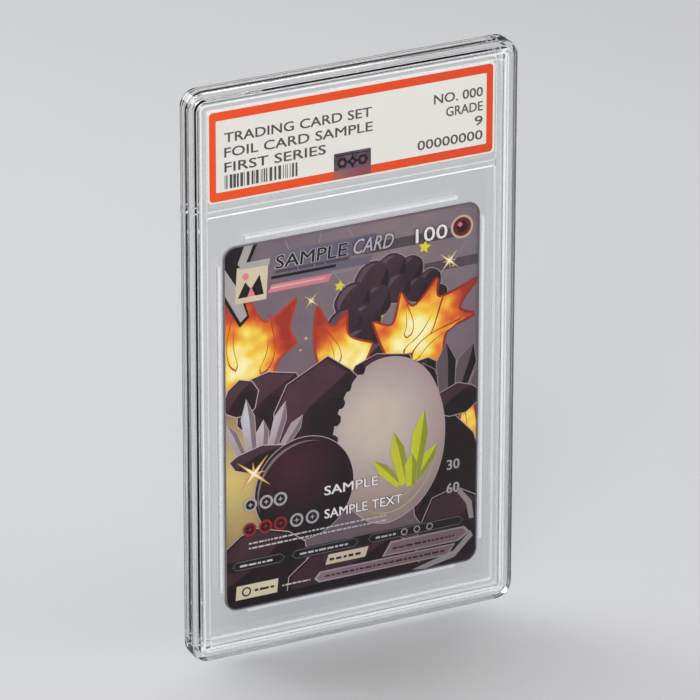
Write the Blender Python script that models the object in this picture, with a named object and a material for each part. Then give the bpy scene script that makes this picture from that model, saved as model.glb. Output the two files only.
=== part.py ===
"""Graded card slab: two clear moulded shells, welded round their rim, that seal in a card and its label.

The slab stands on its bottom edge: +X runs across the card, +Z up it, and the face that shows the card
looks along -Y. The origin is the middle of the bottom edge. Sizes are in millimetres until they are
placed, and MM turns them into metres.

Each shell is a loft of rounded-rectangle rings. A ring is (inset, height): inset is measured inwards
from the slab's outer edge, and height outwards from the plane where the two shells meet.
"""

import math

import bmesh
import bpy
from mathutils import Vector

MM = 0.001

# The slab's outside.
SLAB_WIDTH = 80.2
SLAB_HEIGHT = 136.0
CORNER_RADIUS = 4.0
LEAST_RADIUS = 0.6
FACE_LEVEL = 2.30
RIM_LEVEL = 3.00
EDGE_ROUND = 0.45
EDGE_ROUND_STEPS = 3
CORNER_STEPS = 8

# The raised rim, which lets slabs stack: insets of its feet and of its flat top.
RIM_OUTER_FOOT = 1.35
RIM_OUTER_TOP = 1.65
RIM_INNER_TOP = 3.85
RIM_INNER_FOOT = 4.25
RIM_GROOVE = 2.70
RIM_GROOVE_HALF = 0.18
RIM_GROOVE_DEPTH = 0.14

# The welded joint: a tongue on the front shell, a groove in the back shell and the weld in the groove.
PART_GAP = 0.03
JOINT_INSET = 2.45
TONGUE_WIDTH = 0.60
TONGUE_HEIGHT = 0.50
GROOVE_WIDTH = 1.00
GROOVE_DEPTH = 0.90
WELD_GAP = 0.03

# The two chambers, which a bar across the slab parts.
CHAMBER_INSET = 4.60
CHAMBER_RADIUS = 0.8
BAR_CENTRE = 106.9
BAR_HEIGHT = 1.30
CARD_CHAMBER_LEVEL = 0.45
LABEL_CHAMBER_LEVEL = 0.19

# The card, the well of four ribs that locates it and the room it has there.
CARD_WIDTH = 63.0
CARD_HEIGHT = 88.0
CARD_RADIUS = 3.0
WELL_CENTRE = 55.1
WELL_SIDE_ROOM = 0.5
WELL_END_ROOM = 0.6
CARD_REST_GAP = 0.1
RIB_THICKNESS = 0.8
RIB_TOP_LENGTH = 52.4
RIB_SIDE_LENGTH = 79.0
RIB_REACH = 0.30
RIB_ROOT = 0.6

# The card's layers, from its face to its back, and the clearance between two of them.
FOIL_THICKNESS = 0.02
PLY_THICKNESS = 0.13
CORE_THICKNESS = 0.04
LAYER_GAP = 0.01

# The label, which its chamber pinches, and its security patch.
LABEL_WIDTH = 70.0
LABEL_HEIGHT = 21.7
LABEL_RADIUS = 1.1
LABEL_THICKNESS = 0.28
LABEL_CENTRE = 120.15
PATCH_WIDTH = 9.0
PATCH_HEIGHT = 6.0
PATCH_RADIUS = 0.3
PATCH_THICKNESS = 0.04
PATCH_MARGIN = 0.6

# Smooth shading stops at edges sharper than this.
SHARP_ANGLE = math.radians(30)

FRONT, BACK = -1, 1


def clear_scene():
    for old in list(bpy.data.objects):
        bpy.data.objects.remove(old)


def material(name, colour, roughness, metallic=0.0, alpha=1.0):
    made = bpy.data.materials.new(name)
    made.use_nodes = True
    shader = made.node_tree.nodes["Principled BSDF"]
    shader.inputs["Base Color"].default_value = (*colour, 1.0)
    shader.inputs["Roughness"].default_value = roughness
    shader.inputs["Metallic"].default_value = metallic
    shader.inputs["Alpha"].default_value = alpha
    return made


def rounded_rectangle(half_width, half_height, radius):
    """Points (x, z) round a rectangle's outline, anticlockwise, with an arc at each corner."""
    points = []
    for quarter, (side, end) in enumerate(((1, 1), (-1, 1), (-1, -1), (1, -1))):
        centre_x = side * (half_width - radius)
        centre_z = end * (half_height - radius)
        for step in range(CORNER_STEPS + 1):
            angle = math.radians(90) * (quarter + step / CORNER_STEPS)
            x = centre_x + radius * math.cos(angle)
            z = centre_z + radius * math.sin(angle)
            points.append((x, z))
    return points


def slab_ring(inset):
    """The slab's outline, moved inwards by inset."""
    radius = max(CORNER_RADIUS - inset, LEAST_RADIUS)
    return rounded_rectangle(SLAB_WIDTH / 2 - inset, SLAB_HEIGHT / 2 - inset, radius)


def loft(name, rings, closed=False):
    """A mesh through rings of (points, y): capped at both ends, or joined end to start when closed."""
    mesh = bpy.data.meshes.new(name)
    work = bmesh.new()
    loops = [[work.verts.new((x * MM, y * MM, z * MM)) for x, z in points] for points, y in rings]
    following = loops[1:] + loops[:1] if closed else loops[1:]
    for first, second in zip(loops, following):
        for at in range(len(first)):
            work.faces.new((first[at - 1], first[at], second[at], second[at - 1]))
    if not closed:
        work.faces.new(loops[0])
        work.faces.new(loops[-1])
    bmesh.ops.recalc_face_normals(work, faces=work.faces)
    work.to_mesh(mesh)
    work.free()
    return mesh


def add_object(name, mesh, place, surface=None, parent=None):
    made = bpy.data.objects.new(name, mesh)
    bpy.context.scene.collection.objects.link(made)
    made.location = Vector(place) * MM
    made.parent = parent
    if surface:
        mesh.materials.append(surface)
        mesh.shade_smooth()
        mesh.set_sharp_from_angle(angle=SHARP_ANGLE)
    return made


def plate(name, size, radius, thickness):
    """A flat plate of (width, height) with rounded corners, centred on its own origin."""
    points = rounded_rectangle(size[0] / 2, size[1] / 2, radius)
    return loft(name, [(points, -thickness / 2), (points, thickness / 2)])


def boolean(target, tool, operation):
    tool.hide_render = True
    tool.display_type = "WIRE"
    modifier = target.modifiers.new(f"{operation.lower()} {tool.name}", "BOOLEAN")
    modifier.operation = operation
    modifier.solver = "EXACT"
    modifier.object = tool


def outer_profile():
    """The rings from the window, over the rim and round the outer edge, to the meeting plane."""
    rings = [
        (RIM_INNER_FOOT, FACE_LEVEL),
        (RIM_INNER_TOP, RIM_LEVEL),
        (RIM_GROOVE + RIM_GROOVE_HALF, RIM_LEVEL),
        (RIM_GROOVE, RIM_LEVEL - RIM_GROOVE_DEPTH),
        (RIM_GROOVE - RIM_GROOVE_HALF, RIM_LEVEL),
        (RIM_OUTER_TOP, RIM_LEVEL),
        (RIM_OUTER_FOOT, FACE_LEVEL),
    ]
    for step in range(EDGE_ROUND_STEPS + 1):
        angle = math.radians(90) * step / EDGE_ROUND_STEPS
        inset = EDGE_ROUND * (1 - math.sin(angle))
        height = FACE_LEVEL - EDGE_ROUND * (1 - math.cos(angle))
        rings.append((inset, height))
    rings.append((0, PART_GAP / 2))
    return rings


def joint_profile(width, depth):
    """The rings of the joint: a tongue where depth is negative, a groove where it is positive."""
    plane = PART_GAP / 2
    return [
        (JOINT_INSET - width / 2, plane),
        (JOINT_INSET - width / 2, depth),
        (JOINT_INSET + width / 2, depth),
        (JOINT_INSET + width / 2, plane),
    ]


def shell(name, side, joint, surface):
    """One shell, with both chambers cut into its inner face. side is FRONT or BACK."""
    rings = [(slab_ring(inset), side * height) for inset, height in outer_profile() + joint]
    made = add_object(name, loft(name, rings), (0, 0, SLAB_HEIGHT / 2), surface)
    bar_low = BAR_CENTRE - BAR_HEIGHT / 2
    bar_high = BAR_CENTRE + BAR_HEIGHT / 2
    cut_chamber(made, side, "card_chamber", CHAMBER_INSET, bar_low, CARD_CHAMBER_LEVEL)
    cut_chamber(made, side, "label_chamber", bar_high, SLAB_HEIGHT - CHAMBER_INSET, LABEL_CHAMBER_LEVEL)
    return made


def cut_chamber(target, side, name, low, high, level):
    """Cuts a pocket from height low to height high, as deep as level, into a shell's inner face."""
    size = (SLAB_WIDTH - 2 * CHAMBER_INSET, high - low)
    overshoot = 1.0
    mesh = plate(name, size, CHAMBER_RADIUS, level + overshoot)
    place = (0, side * (level - overshoot) / 2, (low + high) / 2)
    cutter = add_object(f"{name}_cutter_of_{target.name}", mesh, place)
    boolean(target, cutter, "DIFFERENCE")


def add_ribs(target):
    """The four ribs of the card's well, which stop short of its corners."""
    low = -RIB_REACH
    high = CARD_CHAMBER_LEVEL + RIB_ROOT
    side_at = CARD_WIDTH / 2 + WELL_SIDE_ROOM + RIB_THICKNESS / 2
    end_at = CARD_HEIGHT / 2 + WELL_END_ROOM + RIB_THICKNESS / 2
    ribs = {
        "left": ((RIB_THICKNESS, RIB_SIDE_LENGTH), (-side_at, 0)),
        "right": ((RIB_THICKNESS, RIB_SIDE_LENGTH), (side_at, 0)),
        "top": ((RIB_TOP_LENGTH, RIB_THICKNESS), (0, end_at)),
        "bottom": ((RIB_TOP_LENGTH, RIB_THICKNESS), (0, -end_at)),
    }
    for name, (size, (x, z)) in ribs.items():
        mesh = plate(f"{name}_rib", size, RIB_THICKNESS / 4, high - low)
        rib = add_object(f"{name}_rib", mesh, (x, (low + high) / 2, WELL_CENTRE + z))
        boolean(target, rib, "UNION")


def weld_seam(surface):
    """The ring of re-set plastic that fills the bottom of the groove and holds the tongue."""
    half = GROOVE_WIDTH / 2 - WELD_GAP
    near = TONGUE_HEIGHT + WELD_GAP
    far = GROOVE_DEPTH - WELD_GAP
    section = [(-half, near), (-half, far), (half, far), (half, near)]
    rings = [(slab_ring(JOINT_INSET + across), depth) for across, depth in section]
    return add_object("weld_seam", loft("weld_seam", rings, True), (0, 0, SLAB_HEIGHT / 2), surface)



def card_layers(surfaces):
    """The card's four layers, under one empty that lies on the line the card slides along."""
    well_floor = WELL_CENTRE - CARD_HEIGHT / 2 - WELL_END_ROOM
    centre = well_floor + CARD_REST_GAP + CARD_HEIGHT / 2
    slide_line = bpy.data.objects.new("card_slide_line", None)
    bpy.context.scene.collection.objects.link(slide_line)
    slide_line.location = (0, 0, centre * MM)
    layers = (
        ("card_foil_film", FOIL_THICKNESS),
        ("card_front_ply", PLY_THICKNESS),
        ("card_core", CORE_THICKNESS),
        ("card_back_ply", PLY_THICKNESS),
    )
    stack = sum(thickness for _, thickness in layers) + LAYER_GAP * (len(layers) - 1)
    near = -stack / 2
    for name, thickness in layers:
        mesh = plate(name, (CARD_WIDTH, CARD_HEIGHT), CARD_RADIUS, thickness)
        add_object(name, mesh, (0, near + thickness / 2, 0), surfaces[name], slide_line)
        near += thickness + LAYER_GAP


def label_and_patch(paper, foil):
    """The label and, on its face, the patch; together they lie midway between the two shells."""
    stack = PATCH_THICKNESS + LAYER_GAP + LABEL_THICKNESS
    patch_at = (PATCH_THICKNESS - stack) / 2
    stock_at = (stack - LABEL_THICKNESS) / 2
    patch_height = LABEL_CENTRE - LABEL_HEIGHT / 2 + PATCH_MARGIN + PATCH_HEIGHT / 2
    patch = plate("label_hologram", (PATCH_WIDTH, PATCH_HEIGHT), PATCH_RADIUS, PATCH_THICKNESS)
    add_object("label_hologram", patch, (0, patch_at, patch_height), foil)
    stock = plate("label_stock", (LABEL_WIDTH, LABEL_HEIGHT), LABEL_RADIUS, LABEL_THICKNESS)
    add_object("label_stock", stock, (0, stock_at, LABEL_CENTRE), paper)


def main():
    clear_scene()
    clear = material("clear_polystyrene", (0.93, 0.95, 0.95), 0.05, alpha=0.35)
    frosted = material("frosted_weld", (0.82, 0.84, 0.85), 0.6)
    paper = material("label_paper", (0.88, 0.86, 0.80), 0.7)
    foil = material("security_foil", (0.42, 0.38, 0.44), 0.3, metallic=1.0)
    card_surfaces = {
        "card_foil_film": material("card_foil", (0.30, 0.22, 0.26), 0.3),
        "card_front_ply": material("card_front_paper", (0.85, 0.83, 0.78), 0.7),
        "card_core": material("card_core_glue", (0.08, 0.08, 0.10), 0.8),
        "card_back_ply": material("card_back_paper", (0.10, 0.14, 0.36), 0.5),
    }
    plane = PART_GAP / 2
    shell("front_shell", FRONT, joint_profile(TONGUE_WIDTH, plane - TONGUE_HEIGHT), clear)
    back = shell("back_shell", BACK, joint_profile(GROOVE_WIDTH, GROOVE_DEPTH), clear)
    add_ribs(back)
    weld_seam(frosted)
    card_layers(card_surfaces)
    label_and_patch(paper, foil)


main()
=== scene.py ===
"""The looks of the graded card slab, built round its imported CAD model.

Lengths are millimetres until a mesh is made, and MM turns them into metres. A ring is an outline inset
from the slab's outer edge, at a level counted outwards from the plane where the two shells meet. A print
is drawn from the top left of its sheet, x to the right as it is read and y down.
"""

import math
import random

import bmesh
import bpy
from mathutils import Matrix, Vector
from mathutils.geometry import delaunay_2d_cdt


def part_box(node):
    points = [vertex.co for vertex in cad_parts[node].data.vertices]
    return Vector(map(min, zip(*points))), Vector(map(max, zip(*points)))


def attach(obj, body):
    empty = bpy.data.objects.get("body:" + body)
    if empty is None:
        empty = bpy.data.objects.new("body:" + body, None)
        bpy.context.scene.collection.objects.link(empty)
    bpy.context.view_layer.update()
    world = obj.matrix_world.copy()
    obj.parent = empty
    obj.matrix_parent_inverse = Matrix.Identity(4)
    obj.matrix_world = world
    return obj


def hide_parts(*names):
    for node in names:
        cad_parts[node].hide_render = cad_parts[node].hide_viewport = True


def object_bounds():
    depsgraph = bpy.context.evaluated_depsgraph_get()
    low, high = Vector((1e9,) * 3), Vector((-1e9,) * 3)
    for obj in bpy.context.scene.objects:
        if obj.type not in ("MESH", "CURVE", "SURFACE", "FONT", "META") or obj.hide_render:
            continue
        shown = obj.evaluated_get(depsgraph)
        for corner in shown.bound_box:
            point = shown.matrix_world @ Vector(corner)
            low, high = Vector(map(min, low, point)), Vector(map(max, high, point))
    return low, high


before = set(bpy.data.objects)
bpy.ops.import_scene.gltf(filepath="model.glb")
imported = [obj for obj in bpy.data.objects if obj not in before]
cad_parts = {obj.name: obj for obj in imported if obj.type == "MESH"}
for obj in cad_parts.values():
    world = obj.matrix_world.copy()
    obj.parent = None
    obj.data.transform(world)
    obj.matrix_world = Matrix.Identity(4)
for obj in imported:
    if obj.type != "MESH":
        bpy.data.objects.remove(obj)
CAD_LOW, CAD_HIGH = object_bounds()

MM = 0.001
FRONT, BACK = -1, 1
TINY = 1e-6

# The slab. PLANE is half the gap between the two shells.
SLAB_WIDTH = (CAD_HIGH.x - CAD_LOW.x) / MM
SLAB_HEIGHT = (CAD_HIGH.z - CAD_LOW.z) / MM
MIDDLE = SLAB_HEIGHT / 2
RIM_LEVEL = CAD_HIGH.y / MM
FACE_LEVEL = RIM_LEVEL - 0.70
PLANE = 0.015

# Outlines.
CORNER_RADIUS = 4.0
LEAST_RADIUS = 0.8
CORNER_STEPS = 18
SHARP_ANGLE = math.radians(35)

# Chambers, the bar between them, and the card's well.
CHAMBER_INSET = 4.6
BAR_LOW, BAR_HIGH = 106.25, 107.55
CARD_LEVEL, LABEL_LEVEL = 0.45, 0.19
CARD_HALF = (31.5, 44.0)
RIB_HALF = 0.4
RIB_CREST = -0.30
RIB_LENGTHS = (52.4, 79.0)
WELL_ROOM = (0.5, 0.6)
WELL_CENTRE = 55.1

# Insets between which the rim's face is frosted: its groove and the foot of its inner slope.
FROSTED = ((2.50, 2.90), (4.02, 4.30))

# Tongue and groove, with the weld's bead in the groove.
JOINT_INSET = 2.45
TONGUE_HALF, TONGUE_END = 0.30, -0.485
GROOVE_HALF, GROOVE_END = 0.50, 0.90
BEAD_HALF = GROOVE_HALF - 0.03
BEAD_STEPS = 12

# Printed sheets: body, material slot, corner radius, and the margin and corner radius of the print.
SHEETS = {
    "card_foil_film": ("card", "card_foil", 3.0, 0.3, 2.7),
    "card_back_ply": ("card", "card_back", 3.0, 3.6, 0.8),
    "label_stock": ("case", "label_paper", 1.1, 0.0, 0.3),
    "label_hologram": ("case", "security_foil", 0.3, 0.0, 0.3),
}

# A print's thickness, the step from one layer of ink to the next, and how near two corners are one.
INK = 0.0018
LAYER = 0.0022
MERGE = 5e-8

# The height of the built-in lettering's capitals in its own units, and a letter's thickness there.
CAPITAL = 0.73
LETTER_DEPTH = 0.01

PLASTIC_IOR = 1.585
PLASTIC_TINT = (0.968, 0.972, 0.974)
PLASTIC_HAZE = (0.92, 0.93, 0.94)
INK_SHINE = 0.16

# The photograph's camera, fitted to the slab's corners: it looks at the slab's middle.
AZIMUTH, ELEVATION, ROLL = math.radians(-26.48), math.radians(23.65), math.radians(0.085)
DISTANCE = 1.4227
LENS = 330.3

# Soft lights: name, place, size and power. They aim at the slab's middle.
LIGHTS = (
    ("key", (-0.55, -0.75, 0.80), (0.55, 0.55), 8.5),
    ("fill", (0.85, -0.55, 0.45), (0.70, 0.60), 4.0),
    ("top", (0.05, 0.30, 0.85), (0.60, 0.35), 6.0),
    ("behind", (-0.45, 0.75, 0.50), (0.50, 0.50), 4.0),
)
LIGHTS_AIM = Vector((0, 0, 0.068))


def in_mm(node):
    low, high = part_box(node)
    return low / MM, high / MM


def placed(name, data):
    made = bpy.data.objects.new(name, data)
    bpy.context.scene.collection.objects.link(made)
    return made


# -------- colours and materials


def srgb(red, green, blue):
    """A linear colour from screen values of 0 to 255."""
    return [((v / 255 + 0.055) / 1.055) ** 2.4 if v > 10 else v / 3295 for v in (red, green, blue)]


class Nodes:
    """A short way to write the node tree of a material or a world."""

    def __init__(self, holder):
        holder.use_nodes = True
        self.holder = holder
        self.tree = holder.node_tree
        self.tree.nodes.clear()

    def new(self, kind, inputs, **settings):
        node = self.tree.nodes.new("ShaderNode" + kind)
        for name, value in settings.items():
            setattr(node, name, value)
        for name, value in inputs.items():
            socket = node.inputs[name]
            if isinstance(value, bpy.types.NodeSocket):
                self.tree.links.new(value, socket)
            elif hasattr(socket.default_value, "__len__") and len(socket.default_value) == 4:
                socket.default_value = (*value[:3], 1.0)
            else:
                socket.default_value = value
        return node

    def add(self, kind, inputs=None, out=0, **settings):
        """The output of a new node."""
        return self.new(kind, inputs or {}, **settings).outputs[out]

    def math(self, operation, *values, clamp=False):
        return self.add("Math", dict(enumerate(values)), operation=operation, use_clamp=clamp)

    def plus(self, first, second):
        return self.math("ADD", first, second)

    def times(self, first, second):
        return self.math("MULTIPLY", first, second)

    def length(self, vector):
        return self.add("VectorMath", {0: vector}, "Value", operation="LENGTH")

    def mix(self, share, first, second, blend="MIX"):
        return self.add("Mix", {0: share, 6: first, 7: second}, 2, data_type="RGBA", blend_type=blend)

    def remap(self, value, low, high, to_low=0.0, to_high=1.0):
        names = {"Value": value, "From Min": low, "From Max": high, "To Min": to_low, "To Max": to_high}
        return self.add("MapRange", names)

    def place(self, scale=(1, 1, 1), turn=(0, 0, 0)):
        """Object coordinates in millimetres, scaled and turned."""
        at = self.add("TexCoord", out="Object")
        return self.add("Mapping", {"Vector": at, "Scale": [s / MM for s in scale], "Rotation": turn})

    def away(self, x, z):
        """The distance in mm from a place on the front."""
        gap = self.add("VectorMath", {0: self.place(), 1: (x, 0, z)}, operation="SUBTRACT")
        return self.length(self.add("VectorMath", {0: gap, 1: (1, 0, 1)}, operation="MULTIPLY"))

    def noise(self, scale, detail=2.0, roughness=0.5, turn=(0, 0, 0)):
        """Noise with scale cells to a millimetre, one number or one for each axis."""
        at = self.place(scale if isinstance(scale, tuple) else (scale,) * 3, turn)
        return self.add("TexNoise", {"Vector": at, "Scale": 1.0, "Detail": detail, "Roughness": roughness})

    def ramp(self, value, *stops):
        node = self.new("ValToRGB", {"Fac": value})
        points = node.color_ramp.elements
        while len(points) < len(stops):
            points.new(0.5)
        for point, (where, colour) in zip(points, stops):
            point.position = where
            point.color = (*colour, 1.0)
        return node.outputs[0]

    def bump(self, height, strength, distance):
        return self.add("Bump", {"Height": height, "Strength": strength, "Distance": distance * MM})

    def both(self, share, first, second):
        return self.add("MixShader", {0: share, 1: first, 2: second})

    def finish(self, shader, kind="OutputMaterial"):
        self.new(kind, {"Surface": shader})
        return self.holder

    def painted(self, values):
        return self.finish(self.add("BsdfPrincipled", values))


def new_material(name):
    return Nodes(bpy.data.materials.new(name))


def scratches(nodes, scale, turn, density):
    """Fine broken hairlines: 1 on a line and 0 elsewhere."""
    lines = nodes.noise((scale, scale, scale * 0.04), 1.0, turn=turn)
    thin = nodes.remap(nodes.math("ABSOLUTE", nodes.math("SUBTRACT", lines, 0.5)), 0.0, 0.012, 1.0, 0.0)
    kept = nodes.remap(nodes.noise(0.12), 1 - density, 1.08 - density)
    return nodes.math("MULTIPLY", thin, kept, clamp=True)


def clear_plastic(name, roughness, milk):
    """Clear polystyrene. milk is the share of light that a frosted surface scatters."""
    nodes = new_material(name)
    waves = nodes.noise(0.05)
    falling = scratches(nodes, 1.6, (0, 0.5, 0), 0.42)
    rising = scratches(nodes, 1.3, (0, -1.0, 0.3), 0.40)
    marks = nodes.math("MAXIMUM", falling, rising)
    rough = nodes.plus(nodes.times(marks, 0.10), roughness)
    height = nodes.plus(nodes.times(waves, 0.05), nodes.times(marks, -0.0015))
    if milk:
        grain = nodes.noise(15)
        rough = nodes.plus(rough, nodes.times(grain, 0.25))
        height = nodes.plus(height, nodes.times(grain, 0.012))
    values = {
        "Base Color": nodes.mix(waves, (0.968, 0.974, 0.978), (0.980, 0.982, 0.984)),
        "Roughness": rough,
        "IOR": PLASTIC_IOR,
        "Transmission Weight": 1.0,
        "Normal": nodes.bump(height, 0.25, 1.0),
    }
    glass = nodes.add("BsdfPrincipled", values)
    if milk:
        white = nodes.add("BsdfDiffuse", {"Color": PLASTIC_HAZE})
        glow = nodes.add("BsdfTranslucent", {"Color": PLASTIC_HAZE})
        share = nodes.remap(grain, 0.3, 0.7, milk * 0.75, milk)
        glass = nodes.both(share, glass, nodes.both(0.5, white, glow))
    rays = [nodes.add("LightPath", out=name) for name in ("Is Shadow Ray", "Is Diffuse Ray")]
    through = nodes.add("BsdfTransparent", {"Color": PLASTIC_TINT})
    return nodes.finish(nodes.both(nodes.math("MAXIMUM", *rays), glass, through))


def paper_material(name, colour, grain=0.05):
    """Uncoated paper: fine fibres and a slightly uneven tone."""
    nodes = new_material(name)
    fibres = nodes.noise((5, 5, 1.6), 4.0, 0.65)
    tone = nodes.plus(nodes.times(fibres, grain), nodes.times(nodes.noise(0.09), grain))
    shade = nodes.remap(tone, 0.0, 2 * grain, 1 - 1.5 * grain, 1 + grain)
    values = {
        "Base Color": nodes.mix(1.0, colour, shade, "MULTIPLY"),
        "Roughness": nodes.remap(fibres, 0.3, 0.7, 0.6, 0.72),
        "Normal": nodes.bump(fibres, 0.15, 0.02),
    }
    return nodes.painted(values)


def ink(name, first, second, near=-20, far=20, x=None, y=None, turn=0.0, paint=0.0, foil=0.0, gloss=0.38):
    """Print on a sheet, from the first colour to the second.

    near and far are in mm, along x turned by turn, or outwards from the place x, y on the card. paint is how
    far the tone wanders, as in brushwork. foil is how much the ink shows the film's etched, rainbow sheen.
    """
    nodes = new_material(name)
    speckle = nodes.noise(6, 2.0, 0.6)
    cloud = nodes.noise(0.16, 4.0, 0.6)
    if y is None:
        along = nodes.add("SeparateXYZ", {0: nodes.place(turn=(0, turn, 0))})
    else:
        along = nodes.away(*on_card(x, y))
    share = nodes.remap(nodes.plus(along, nodes.times(cloud, 3.0)), near + 1.5, far + 1.5)
    tone = nodes.remap(cloud, 0.3, 0.7, 1 - paint, 1 + paint)
    grain = nodes.remap(speckle, 0.3, 0.7, 0.96, 1.04)
    colour = nodes.mix(share, srgb(*first), srgb(*second))
    colour = nodes.mix(1.0, colour, nodes.times(tone, grain), "MULTIPLY")
    rough = nodes.remap(speckle, 0.3, 0.7, gloss - 0.04, gloss + 0.08)
    values = {"Roughness": rough, "Specular IOR Level": INK_SHINE}
    if foil:
        facing = nodes.add("LayerWeight", {"Blend": 0.4}, 1)
        rainbow = nodes.ramp(
            nodes.math("FRACT", nodes.plus(nodes.times(facing, 2.5), share)),
            (0.0, (1.0, 0.80, 0.84)),
            (0.35, (0.95, 1.0, 0.80)),
            (0.7, (0.78, 0.95, 1.0)),
            (1.0, (1.0, 0.80, 0.95)),
        )
        colour = nodes.mix(foil, colour, nodes.mix(1.0, colour, rainbow, "MULTIPLY"))
        values["Metallic"] = foil * 0.4
        values["Normal"] = nodes.bump(nodes.noise((2.2, 2.2, 0.5), turn=(0, 0.7, 0)), 0.06, 0.05)
    values["Base Color"] = colour
    return nodes.painted(values)


def fire_ink(name, centre, reach):
    """Painted fire: white-hot round its centre, then yellow, orange and red at reach."""
    nodes = new_material(name)
    warp = nodes.remap(nodes.noise(0.20, 1.5), 0.3, 0.7, -0.24 * reach, 0.24 * reach)
    colour = nodes.ramp(
        nodes.remap(nodes.plus(nodes.away(*centre), warp), 0.0, reach),
        (0.06, srgb(254, 244, 178)),
        (0.32, srgb(250, 212, 74)),
        (0.56, srgb(236, 140, 36)),
        (0.78, srgb(212, 80, 28)),
        (1.0, srgb(160, 44, 26)),
    )
    rough = nodes.remap(nodes.noise(6, 2.0, 0.6), 0.3, 0.7, 0.34, 0.46)
    values = {"Base Color": colour, "Specular IOR Level": INK_SHINE, "Roughness": rough}
    return nodes.painted(values)


def hologram_foil():
    """Embossed foil: a fine diamond grating that breaks light into dull violet, green and rose."""
    nodes = new_material("security_foil")
    lines = ({"Vector": nodes.place(turn=(0, turn, 0)), "Scale": 0.9} for turn in (0.785, -0.785))
    relief = nodes.plus(*(nodes.add("TexWave", line, 1, bands_direction="X") for line in lines))
    facing = nodes.add("LayerWeight", {"Blend": 0.5}, 1)
    shift = nodes.times(nodes.noise(0.35, 1.0), 1.6)
    colour = nodes.ramp(
        nodes.math("FRACT", nodes.plus(nodes.times(facing, 2.0), shift)),
        (0.0, srgb(104, 90, 104)),
        (0.3, srgb(150, 118, 140)),
        (0.6, srgb(112, 128, 124)),
        (1.0, srgb(104, 90, 104)),
    )
    rough = nodes.remap(relief, 0.0, 2.0, 0.32, 0.5)
    normal = nodes.bump(relief, 0.5, 0.02)
    values = {"Base Color": colour, "Metallic": 0.75, "Roughness": rough, "Normal": normal}
    return nodes.painted(values)


# -------- outlines and solids


def rounded_rectangle(half_width, half_height, radius, centre=(0, 0), steps=CORNER_STEPS):
    """Points round a rectangle with an arc at each corner."""
    points = []
    for quarter, (side, end) in enumerate(((1, 1), (-1, 1), (-1, -1), (1, -1))):
        for step in range(steps + 1):
            angle = math.radians(90) * (quarter + step / steps)
            x = centre[0] + side * (half_width - radius) + radius * math.cos(angle)
            z = centre[1] + end * (half_height - radius) + radius * math.sin(angle)
            points.append((x, z))
    return points


def slab_ring(inset):
    radius = max(CORNER_RADIUS - inset, LEAST_RADIUS)
    return rounded_rectangle(SLAB_WIDTH / 2 - inset, MIDDLE - inset, radius, (0, MIDDLE))


def soften(profile, steps):
    """A line through (across, along, reach) points, its corners rounded over reach on either side."""
    line = []
    for at, (across, along, reach) in enumerate(profile):
        here = Vector((across, along))
        if not reach or at in (0, len(profile) - 1):
            line.append(here)
            continue
        before = Vector(profile[at - 1][:2]) - here
        after = Vector(profile[at + 1][:2]) - here
        reach = min(reach, before.length * 0.48, after.length * 0.48)
        start = here + before.normalized() * reach
        end = here + after.normalized() * reach
        for step in range(steps + 1):
            share = step / steps
            line.append(start * (1 - share) ** 2 + here * 2 * share * (1 - share) + end * share**2)
    return [tuple(point) for point in line]


class Solid:
    """A closed mesh gathered face by face, in millimetres."""

    def __init__(self):
        self.work = bmesh.new()

    def loop(self, points, y):
        return [self.work.verts.new((x * MM, y * MM, z * MM)) for x, z in points]

    def skin(self, loops, slot=0, closed=False):
        following = loops[1:] + loops[:1] if closed else loops[1:]
        for first, second in zip(loops, following):
            for at in range(len(first)):
                face = self.work.faces.new((first[at - 1], first[at], second[at], second[at - 1]))
                face.material_index = slot

    def fill(self, loops, slot=0):
        """A flat face inside the first loop, with the other loops as its holes."""
        if len(loops) == 1:
            self.work.faces.new(loops[0]).material_index = slot
            return
        edges = []
        for loop in loops:
            for a, b in zip(loop, loop[1:] + loop[:1]):
                edges.append(self.work.edges.get((a, b)) or self.work.edges.new((a, b)))
        made = bmesh.ops.triangle_fill(self.work, use_beauty=True, use_dissolve=False, edges=edges)
        for part in made["geom"]:
            if isinstance(part, bmesh.types.BMFace):
                part.material_index = slot

    def plate(self, outlines, near, far, slot):
        """A flat plate over all that the outlines enclose together. They may cross one another."""
        places, edges = [], []
        for outline in outlines:
            first = len(places)
            places += [Vector(point) for point in outline]
            edges += [(at, at + 1) for at in range(first, len(places) - 1)] + [(len(places) - 1, first)]
        places, _, triangles, *_ = delaunay_2d_cdt(places, edges, [], 1, 1e-4)
        layers = [self.loop([tuple(place) for place in places], y) for y in (near, far)]
        rims = {}
        for triangle in triangles:
            for layer in layers:
                self.work.faces.new([layer[at] for at in triangle]).material_index = slot
            for a, b in zip(triangle, triangle[1:] + triangle[:1]):
                rims[min(a, b), max(a, b)] = rims.get((min(a, b), max(a, b)), 0) + 1
        for (a, b), uses in rims.items():
            if uses == 1:
                corners = (layers[0][a], layers[0][b], layers[1][b], layers[1][a])
                self.work.faces.new(corners).material_index = slot
        for layer in layers:
            for vertex in layer:
                if not vertex.link_faces:
                    self.work.verts.remove(vertex)

    def band(self, outer, inner, near, far, slot):
        """A flat ring between two outlines that have equally many points."""
        corners = [(outer, near), (outer, far), (inner, far), (inner, near)]
        self.skin([self.loop(points, y) for points, y in corners], slot, closed=True)

    def finish(self, name, body, slot, materials, node=None):
        """Makes the piece. One that stands for a CAD node gets smooth shading, and a print stays flat."""
        bmesh.ops.recalc_face_normals(self.work, faces=self.work.faces)
        mesh = bpy.data.meshes.new(name)
        self.work.to_mesh(mesh)
        self.work.free()
        made = placed(name, mesh)
        for material in materials:
            mesh.materials.append(material)
        if node:
            mesh.shade_smooth()
            mesh.set_sharp_from_angle(angle=SHARP_ANGLE)
            weighted = made.modifiers.new("flat faces stay flat", "WEIGHTED_NORMAL")
            weighted.keep_sharp = True
            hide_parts(node)
        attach(made, body)


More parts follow.
